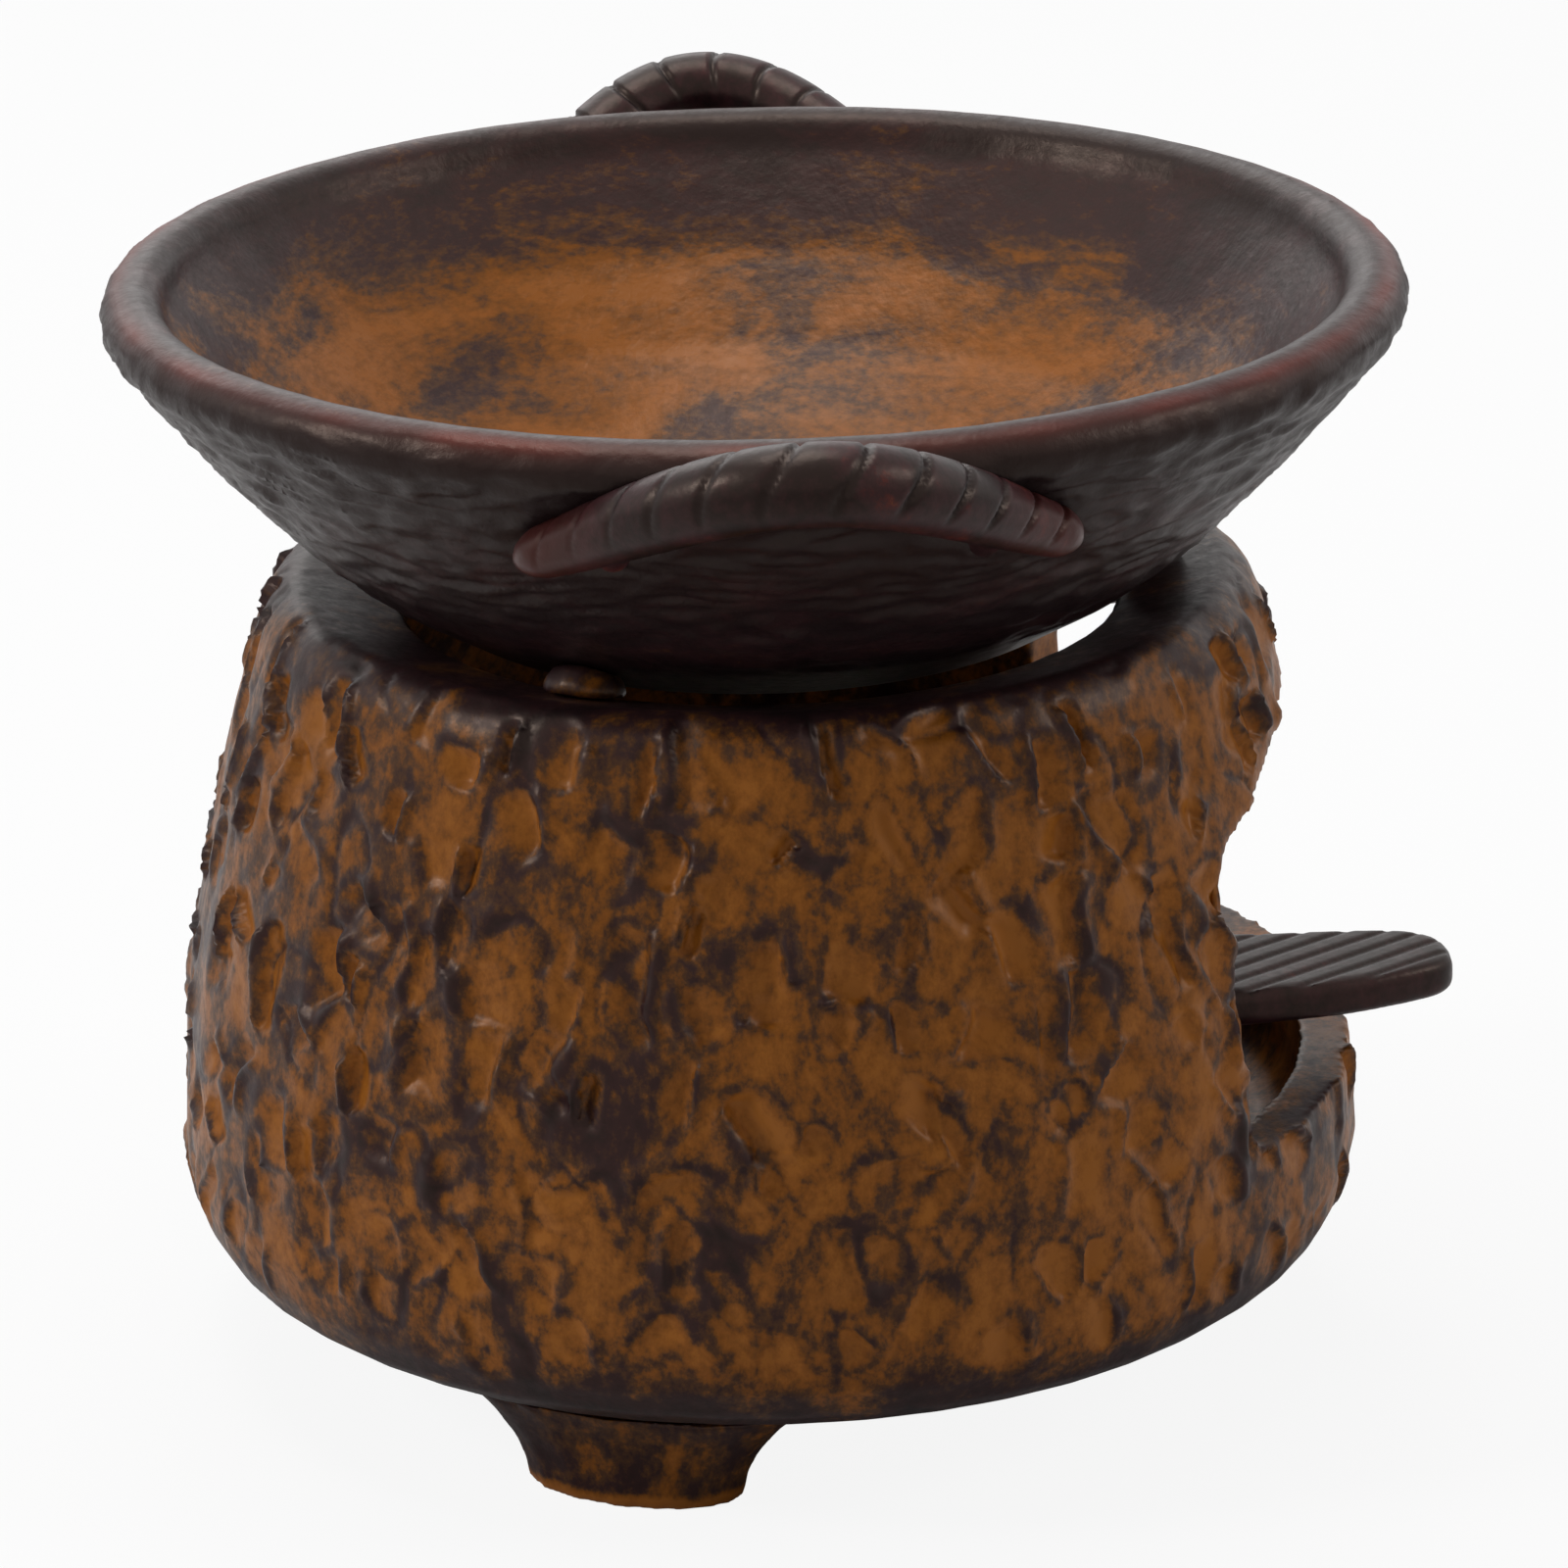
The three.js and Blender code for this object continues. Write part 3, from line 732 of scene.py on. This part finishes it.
    def _veins(self, points: np.ndarray, surface: BeatenSurface) -> np.ndarray:
        """Finds the thin wandering creases between the dents.

        Args:
            points: Places in metres, one row each.
            surface: The wall's points.

        Returns:
            A share for each point, 1 in the middle of a crease.
        """
        drift = np.stack([surface.warp, surface.twist, -surface.warp], axis=1)
        line = bell(self.veins.at(points + drift * (self.vein_wander_mm * MM)), 0.0, self.vein_width)
        return line * smoothstep(*self.vein_open, self.vein_patches.at(points))


@dataclass
class DishWall(Clay):
    """The dish: smooth inside, leathery outside with fine ridges that run round it.

    Lengths are in millimetres, and heights are above the table.
    """

    outside_facing: tuple[float, float] = (-0.15, 0.35)
    rim_top_from_mm: float = 80.0
    rim_top_inward: float = 0.6
    underside_facing: float = -0.4
    underside_outward: float = 0.4
    relief_from_mm: tuple[float, float] = (69.5, 73.0)
    rim_from_mm: tuple[float, float] = (92.0, 95.0)
    rim_calm: float = 0.6
    inside_rim_mm: tuple[float, float] = (90.0, 96.0)
    ridge_mm: float = 0.27
    ridge_wander_mm: float = 1.6
    patch_middle_mm: float = -9.0
    patch_half_width_mm: float = 5.0
    patch_side_mm: tuple[float, float] = (-5.0, 15.0)
    far_side_mm: tuple[float, float] = (16.0, 42.0)
    crest_facing: tuple[float, float] = (0.5, 0.28)
    crest_from_mm: tuple[float, float] = (92.5, 95.0)
    thin_patches: tuple[float, float] = (-0.4, 0.5)
    least_blush: float = 0.35
    outside_dark: float = 0.40
    inside_rim_dark: float = 0.10
    patch_dark: float = 0.13
    far_side_dark: float = 0.12
    warp: Unevenness = Unevenness((14.0, 14.0, 6.0), 1.0, 2.2)
    ridges: Unevenness = Unevenness((6.0, 6.0, 1.5), 1.0, 4.4)
    leather: Unevenness = Unevenness((2.2, 2.2, 1.6), 0.17, 8.8)
    wobble: Unevenness = Unevenness((16.0, 16.0, 16.0), 0.10, 6.6)
    rim_patches: Unevenness = Unevenness((9.0, 9.0, 9.0), 1.0, 12.5)

    def shape(self, mesh: bpy.types.Mesh) -> None:
        """Raises the outside's ridges and stores the outside and the rim's edge.

        The relief starts above the lugs, so that the dish doesn't sink into them.

        Args:
            mesh: The dish's mesh.
        """
        points, normals = read_mesh(mesh)
        x = points[:, 0] - STAND_AXIS_X
        y = points[:, 1] - STAND_AXIS_Y
        z = points[:, 2] / MM
        radius = np.maximum(np.hypot(x, y), 1e-4)
        outward = (normals[:, 0] * x + normals[:, 1] * y) / radius
        upward = normals[:, 2]
        # The rim's top counts as inside, and the underside as outside.
        facing = outward - self.rim_top_inward * upward * (z > self.rim_top_from_mm)
        facing += self.underside_outward * (upward < self.underside_facing)
        outside = smoothstep(*self.outside_facing, facing)
        above_lugs = smoothstep(*self.relief_from_mm, z)
        up = np.array([0.0, 0.0, 1.0])
        warped = points + up * (self.warp.at(points) * self.ridge_wander_mm * MM)[:, None]
        ridge = self.ridge_mm * (1.0 - 2.0 * np.abs(self.ridges.at(warped)))
        wall = outside * above_lugs * (1.0 - self.rim_calm * smoothstep(*self.rim_from_mm, z))
        lift = wall * (ridge + self.leather.at(points)) + above_lugs * self.wobble.at(points)
        write_points(mesh, points + normals * (lift * MM)[:, None])
        inside_rim = smoothstep(*self.inside_rim_mm, z)
        patch = bell(y / MM, self.patch_middle_mm, self.patch_half_width_mm)
        patch *= smoothstep(*self.patch_side_mm, x / MM)
        far_side = smoothstep(*self.far_side_mm, -y / MM)
        inside = (self.patch_dark * patch + self.far_side_dark * far_side) * (1.0 - outside)
        dark = self.outside_dark * outside + self.inside_rim_dark * inside_rim + inside
        write_attribute(mesh, "outside", dark)
        crest = bell(outward, *self.crest_facing) * smoothstep(*self.crest_from_mm, z)
        thin = smoothstep(*self.thin_patches, self.rim_patches.at(points))
        write_attribute(mesh, "edge", crest * (self.least_blush + (1.0 - self.least_blush) * thin))


@dataclass
class Tongue(Clay):
    """The tray's tongue, kept crisp where its grooves are cut."""

    broad: Unevenness = Unevenness((6.0, 6.0, 6.0), 0.08, 3.1)
    fine: Unevenness = Unevenness((2.6, 2.6, 2.6), 0.0, 7.7)


@dataclass
class RopeHandle:
    """A coil of clay, cut with slanting nicks, whose ends and two legs are pressed onto the dish.

    Lengths are in millimetres: reaches are from the stand's axis, and heights are above the table.
    """

    node: str
    turn_deg: float
    finish: bpy.types.Material
    half_span: float = 22.4
    end_radius: float = 51.2
    end_height: float = 85.3
    crown_reach: float = 62.3
    crown_height: float = 95.4
    arch_power: float = 1.5
    crown_girth: float = 3.3
    end_girth: float = 1.8
    girth_power: float = 0.8
    end_round: float = 3.4
    nicks: int = 13
    nick_depth: float = 0.5
    nick_width: float = 0.27
    nick_slant: float = 0.34
    nick_shade: float = 0.6
    nick_evenness: float = 0.62
    nick_change: float = 12.9898
    nick_first: float = 4.1
    nicked_side: tuple[float, float, float] = (0.35, 0.0, 0.94)
    nicked_fade: float = 0.35
    tip_blush: float = 0.32
    tip_from: tuple[float, float] = (0.62, 0.95)
    samples: int = 1200
    end_crowding: float = 0.35
    rings: int = 300
    sides: int = 36
    leg_side: float = 14.6
    leg_height: float = 84.4
    leg_wall: float = 46.6
    leg_root: float = 1.5
    leg_top: float = 1.8
    leg_round: float = 0.22
    leg_rings: int = 16
    leg_sides: int = 24
    smallest_share: float = 0.02

    def centre(self, across: np.ndarray) -> np.ndarray:
        """Gives the coil's centre line.

        Args:
            across: Places from -1 to 1 along the handle's span.

        Returns:
            One point in millimetres for each place, before the dish is turned.
        """
        arch = np.clip(1.0 - across**2, 0.0, 1.0) ** self.arch_power
        end_reach = math.sqrt(self.end_radius**2 - self.half_span**2)
        return np.stack(
            [
                end_reach + (self.crown_reach - end_reach) * arch,
                self.half_span * across,
                self.end_height + (self.crown_height - self.end_height) * arch,
            ],
            axis=1,
        )

    def make(self) -> bpy.types.Object:
        """Makes the handle and sets it on the dish.

        Returns:
            The piece.
        """
        points, faces, dark = self._rope()
        for side in (-1.0, 1.0):
            leg_points, leg_faces = self._leg(side)
            faces += [tuple(i + len(points) for i in face) for face in leg_faces]
            points = np.vstack([points, leg_points])
            dark = np.concatenate([dark, np.zeros(len(leg_points))])
        turn = math.radians(self.turn_deg)
        spun = points.copy()
        spun[:, 0] = points[:, 0] * math.cos(turn) - points[:, 1] * math.sin(turn)
        spun[:, 1] = points[:, 0] * math.sin(turn) + points[:, 1] * math.cos(turn)
        spun = spun * MM + np.array([STAND_AXIS_X, STAND_AXIS_Y, 0.0])
        mesh = bpy.data.meshes.new(self.node + "_rope")
        mesh.from_pydata(spun.tolist(), [], faces)
        mesh.materials.append(self.finish)
        write_attribute(mesh, "relief", dark)
        tip = np.abs(points[:, 1]) / self.half_span
        write_attribute(mesh, "edge", self.tip_blush * smoothstep(*self.tip_from, tip))
        mesh.shade_smooth()
        piece = bpy.data.objects.new(self.node + "_rope", mesh)
        bpy.context.scene.collection.objects.link(piece)
        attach(piece, Body.DISH.value)
        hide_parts(self.node)
        return piece

    def _rope(self) -> tuple[np.ndarray, list[tuple[int, ...]], np.ndarray]:
        """Sweeps the nicked coil along its centre line.

        Returns:
            Points in millimetres, faces, and the darkness of each point, which is painted shade in the
            nicks.
        """
        walk = self.centre(np.linspace(-1.0, 1.0, self.samples))
        walked = np.concatenate([[0.0], np.cumsum(np.linalg.norm(np.diff(walk, axis=0), axis=1))])
        length = walked[-1]
        even = np.linspace(0.0, 1.0, self.rings)
        crowded = 0.5 - 0.5 * np.cos(np.pi * even)
        shares = self.end_crowding * crowded + (1.0 - self.end_crowding) * even
        line = np.stack([np.interp(shares * length, walked, walk[:, k]) for k in range(3)], axis=1)
        ahead = np.gradient(line, axis=0)
        ahead /= np.linalg.norm(ahead, axis=1)[:, None]
        plane = np.cross(self.centre(np.array([0.0]))[0] - line[0], line[-1] - line[0])
        binormal = np.tile(plane / np.linalg.norm(plane), (self.rings, 1))
        normal = np.cross(binormal, ahead)
        normal /= np.linalg.norm(normal, axis=1)[:, None]
        turns = np.linspace(0.0, 2 * math.pi, self.sides, endpoint=False)
        facing = (
            normal[:, None, :] * np.cos(turns)[None, :, None]
            + binormal[:, None, :] * np.sin(turns)[None, :, None]
        )
        from_end = np.minimum(shares, 1.0 - shares) * length + self.smallest_share * self.end_round
        blunt = np.minimum(1.0, from_end / self.end_round)
        cut = self._nicks(shares, length, turns, facing) * blunt[:, None]
        swell = np.sin(np.pi * shares) ** self.girth_power
        girth = self.end_girth + (self.crown_girth - self.end_girth) * swell
        girth = girth * np.sqrt(np.clip(1.0 - (1.0 - blunt) ** 2, 0.0, 1.0))
        radius = girth[:, None] - self.nick_depth * cut
        points = line[:, None, :] + facing * radius[:, :, None]
        # The nicks are drawn darker: painted shade in the cuts.
        return points.reshape(-1, 3), ring_faces(self.rings, self.sides), (self.nick_shade * cut).ravel()

    def _nicks(
        self, shares: np.ndarray, length: float, turns: np.ndarray, facing: np.ndarray
    ) -> np.ndarray:
        """Places the nicks along the coil's upper side, each with a depth of its own.

        Args:
            shares: The rings' places along the coil, from 0 to 1.
            length: The coil's length.
            turns: The angles of a ring's points.
            facing: The way that each point faces, by ring and turn.

        Returns:
            How deep each point is cut, from 0 to 1.
        """
        phase = shares[:, None] * self.nicks - self.nick_slant * np.sin(turns)[None, :]
        number = np.round(phase)
        aside = (phase - number) * length / self.nicks
        # A large step round a sine from one nick to the next gives each its own strength.
        change = np.sin(number * self.nick_change + self.nick_first)
        strength = self.nick_evenness + (1.0 - self.nick_evenness) * change
        upper = smoothstep(-self.nicked_fade, self.nicked_fade, facing @ np.array(self.nicked_side))
        return bell(aside, 0.0, self.nick_width) * strength * upper

    def _leg(self, side: float) -> tuple[np.ndarray, list[tuple[int, ...]]]:
        """Makes one leg, from the dish's wall up to the coil.

        Args:
            side: -1 or 1, the side of the handle's middle.

        Returns:
            Points in millimetres and faces.
        """
        y = side * self.leg_side
        top = self.centre(np.array([y / self.half_span]))[0]
        root = np.array([math.sqrt(self.leg_wall**2 - y**2), y, self.leg_height])
        across = np.array([0.0, 1.0, 0.0])
        up = np.cross((top - root) / np.linalg.norm(top - root), across)
        turns = np.linspace(0.0, 2 * math.pi, self.leg_sides, endpoint=False)
        ring = np.cos(turns)[:, None] * across + np.sin(turns)[:, None] * up
        rings = []
        for share in np.linspace(0.0, 1.0, self.leg_rings):
            radius = self.leg_root + (self.leg_top - self.leg_root) * share
            rounding = min(1.0, (share + self.smallest_share) / self.leg_round)
            radius *= math.sqrt(1.0 - (1.0 - rounding) ** 2)
            rings.append(root + (top - root) * share + radius * ring)
        return np.vstack(rings), ring_faces(self.leg_rings, self.leg_sides)


@dataclass
class Stand:
    """The footed stand: its beaten wall, three feet, and three lugs that carry the dish."""

    wall_voxel_mm: float = 0.5
    foot_voxel_mm: float = 0.45
    lug_voxel_mm: float = 0.3

    def build(self) -> list[bpy.types.Object]:
        """Makes the stand's pieces.

        Returns:
            The pieces.
        """
        glaze = WALL_GLAZE.build()
        foot = FOOT_GLAZE.build()
        pieces = [StandWall("base_shell", Body.STAND, glaze, self.wall_voxel_mm, passes=5).make()]
        for side in ("right", "left", "front"):
            pieces.append(Clay("foot_" + side, Body.STAND, foot, self.foot_voxel_mm, passes=5).make())
            pieces.append(Clay("rest_lug_" + side, Body.STAND, glaze, self.lug_voxel_mm, passes=4).make())
        return pieces


@dataclass
class Dish:
    """The loose dish and its two rope handles, which were set a few degrees off square."""

    bowl_voxel_mm: float = 0.6
    turn_deg: float = -5.0

    def build(self) -> list[bpy.types.Object]:
        """Makes the dish's pieces.

        Returns:
            The pieces.
        """
        glaze = DISH_GLAZE.build()
        rope = ROPE_GLAZE.build()
        return [
            DishWall("dish_bowl", Body.DISH, glaze, self.bowl_voxel_mm, passes=8, slot="glaze_dark").make(),
            RopeHandle("dish_handle_right", self.turn_deg, rope).make(),
            RopeHandle("dish_handle_left", self.turn_deg + 180.0, rope).make(),
        ]


@dataclass
class CandleTray:
    """The loose candle tray and the tongue that draws it out."""

    tray_voxel_mm: float = 0.5
    tongue_voxel_mm: float = 0.22

    def build(self) -> list[bpy.types.Object]:
        """Makes the tray's pieces.

        Returns:
            The pieces.
        """
        glaze = ROPE_GLAZE.build()
        return [
            Clay("candle_tray", Body.TRAY, glaze, self.tray_voxel_mm, passes=5, slot="glaze_dark").make(),
            Tongue(
                "tray_tongue", Body.TRAY, glaze, self.tongue_voxel_mm, passes=2, slot="glaze_dark"
            ).make(),
        ]


@dataclass
class Tealight:
    """The tealight, whose solids from the frame have the right shapes as they are."""

    cup: PlainFinish = CUP_METAL
    wax: PlainFinish = CANDLE_WAX
    sustainer: PlainFinish = SUSTAINER_TIN
    wick: PlainFinish = WICK_COTTON

    def build(self) -> list[bpy.types.Object]:
        """Dresses the tealight's solids.

        Returns:
            The solids.
        """
        finishes = {
            "tealight_cup": self.cup, "tealight_wax": self.wax,
            "wick_sustainer": self.sustainer, "candle_wick": self.wick,
        }
        solids = []
        for node, finish in finishes.items():
            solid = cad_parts[node]
            material = finish.build()
            if solid.material_slots:
                solid.material_slots[0].material = material
            else:
                solid.data.materials.append(material)
            solids.append(solid)
        return solids


@dataclass(frozen=True)
class Lamp:
    """A square soft lamp aimed at the warmer, with its place and size in metres."""

    name: str
    place: tuple[float, float, float]
    size: float
    watts: float


@dataclass
class Studio:
    """A white table under soft light, with the camera a little above the warmer's left handle."""

    camera_from_axis_mm: float = 557.35
    camera_height_mm: float = 249.94
    camera_bearing_deg: float = 171.1
    yaw_deg: float = 0.18
    pitch_deg: float = 19.83
    roll_deg: float = -1.12
    lens_mm: float = 157.16
    sensor_mm: float = 36.0
    table_half_m: float = 4.0
    table_colour: str = "#e4e4e4"
    table_glow: float = 0.9
    white: str = "#ffffff"
    lamp_target: tuple[float, float, float] = (0.0, 0.0, 0.05)
    room_strength: float = 0.15
    lamps: tuple[Lamp, ...] = (
        Lamp("lamp_over", (0.15, 0.05, 0.9), 0.5, 4.4),
        Lamp("lamp_left", (-0.05, 0.85, 0.6), 0.22, 3.6),
        Lamp("lamp_right", (-0.25, -0.85, 0.6), 0.3, 2.0),
        Lamp("lamp_back", (0.8, 0.1, 0.6), 0.6, 1.6),
    )

    def build(self) -> None:
        """Sets up the camera, the table, the lamps and the room."""
        self.camera()
        self.floor()
        self.lights()
        self.room()

    def camera(self) -> None:
        """Places the camera at the photograph's angle."""
        bearing = math.radians(self.camera_bearing_deg)
        toward = Vector((math.cos(bearing), math.sin(bearing), 0.0))
        away = -toward
        right = Vector((away.y, -away.x, 0.0))
        up = Vector((0.0, 0.0, 1.0))
        yaw, pitch, roll = (math.radians(a) for a in (self.yaw_deg, self.pitch_deg, self.roll_deg))
        level = right * math.sin(yaw) + away * math.cos(yaw)
        ahead = level * math.cos(pitch) - up * math.sin(pitch)
        side = right * math.cos(yaw) - away * math.sin(yaw)
        over = side.cross(ahead)
        rolled_side = side * math.cos(roll) + over * math.sin(roll)
        rolled_over = over * math.cos(roll) - side * math.sin(roll)
        turn = Matrix((rolled_side, rolled_over, -ahead)).transposed().to_4x4()
        data = bpy.data.cameras.new("camera")
        data.lens = self.lens_mm
        data.sensor_width = self.sensor_mm
        data.sensor_fit = "HORIZONTAL"
        eye = bpy.data.objects.new("camera", data)
        spot = toward * (self.camera_from_axis_mm * MM) + Vector((STAND_AXIS_X, STAND_AXIS_Y, 0.0))
        spot.z = self.camera_height_mm * MM
        eye.matrix_world = Matrix.Translation(spot) @ turn
        bpy.context.scene.collection.objects.link(eye)
        bpy.context.scene.camera = eye

    def floor(self) -> None:
        """Lays a white table that keeps the warmer's shadow."""
        half = self.table_half_m
        mesh = bpy.data.meshes.new("table")
        corners = [(-half, -half, 0.0), (half, -half, 0.0), (half, half, 0.0), (-half, half, 0.0)]
        mesh.from_pydata(corners, [], [(0, 1, 2, 3)])
        table = bpy.data.objects.new("table", mesh)
        bpy.context.scene.collection.objects.link(table)
        material = bpy.data.materials.new("white_table")
        material.use_nodes = True
        tree = material.node_tree
        shader = tree.nodes["Principled BSDF"]
        shader.inputs["Base Color"].default_value = linear(self.table_colour)
        shader.inputs["Roughness"].default_value = 0.9
        shader.inputs["Specular IOR Level"].default_value = 0.1
        glow = add_node(
            tree, "Emission", {("Color",): linear(self.white), ("Strength",): 1.0}, {}
        ).outputs[0]
        seen = add_node(tree, "LightPath", {}, {}).outputs["Is Camera Ray"]
        share = add_node(
            tree, "Math", {"operation": "MULTIPLY", (1,): self.table_glow}, {0: seen}
        ).outputs[0]
        mix = add_node(tree, "MixShader", {}, {0: share, 1: shader.outputs[0], 2: glow}).outputs[0]
        tree.links.new(mix, tree.nodes["Material Output"].inputs["Surface"])
        mesh.materials.append(material)

    def lights(self) -> None:
        """Hangs the soft lamps."""
        for lamp in self.lamps:
            data = bpy.data.lights.new(lamp.name, "AREA")
            data.size = lamp.size
            data.energy = lamp.watts
            hung = bpy.data.objects.new(lamp.name, data)
            hung.location = lamp.place
            aim = Vector(self.lamp_target) - Vector(lamp.place)
            hung.rotation_euler = aim.to_track_quat("-Z", "Y").to_euler()
            bpy.context.scene.collection.objects.link(hung)

    def room(self) -> None:
        """Sets the room, white to the camera and in reflections and dim as a light."""
        world = bpy.data.worlds.new("white_room")
        bpy.context.scene.world = world
        world.use_nodes = True
        tree = world.node_tree
        soft = tree.nodes["Background"]
        soft.inputs["Color"].default_value = linear(self.white)
        soft.inputs["Strength"].default_value = self.room_strength
        white = add_node(
            tree, "Background", {("Color",): linear(self.white), ("Strength",): 1.0}, {}
        ).outputs[0]
        path = add_node(tree, "LightPath", {}, {})
        total = path.outputs["Is Camera Ray"]
        for kind in ("Is Glossy Ray", "Is Transmission Ray"):
            total = add_node(
                tree, "Math", {"operation": "MAXIMUM"}, {0: total, 1: path.outputs[kind]}
            ).outputs[0]
        mix = add_node(tree, "MixShader", {}, {0: total, 1: soft.outputs[0], 2: white}).outputs[0]
        tree.links.new(mix, tree.nodes["World Output"].inputs["Surface"])
        bpy.context.scene.view_settings.view_transform = "Standard"


def main() -> None:
    """Sets up the studio, builds each sub-assembly in turn and reports its pieces."""
    logging.basicConfig(level=logging.INFO, format="%(message)s")
    Studio().build()
    for assembly in (Stand(), Dish(), CandleTray(), Tealight()):
        for piece in assembly.build():
            logging.info("%s: %s", type(assembly).__name__, piece.name)


if __name__ == "__main__":
    main()
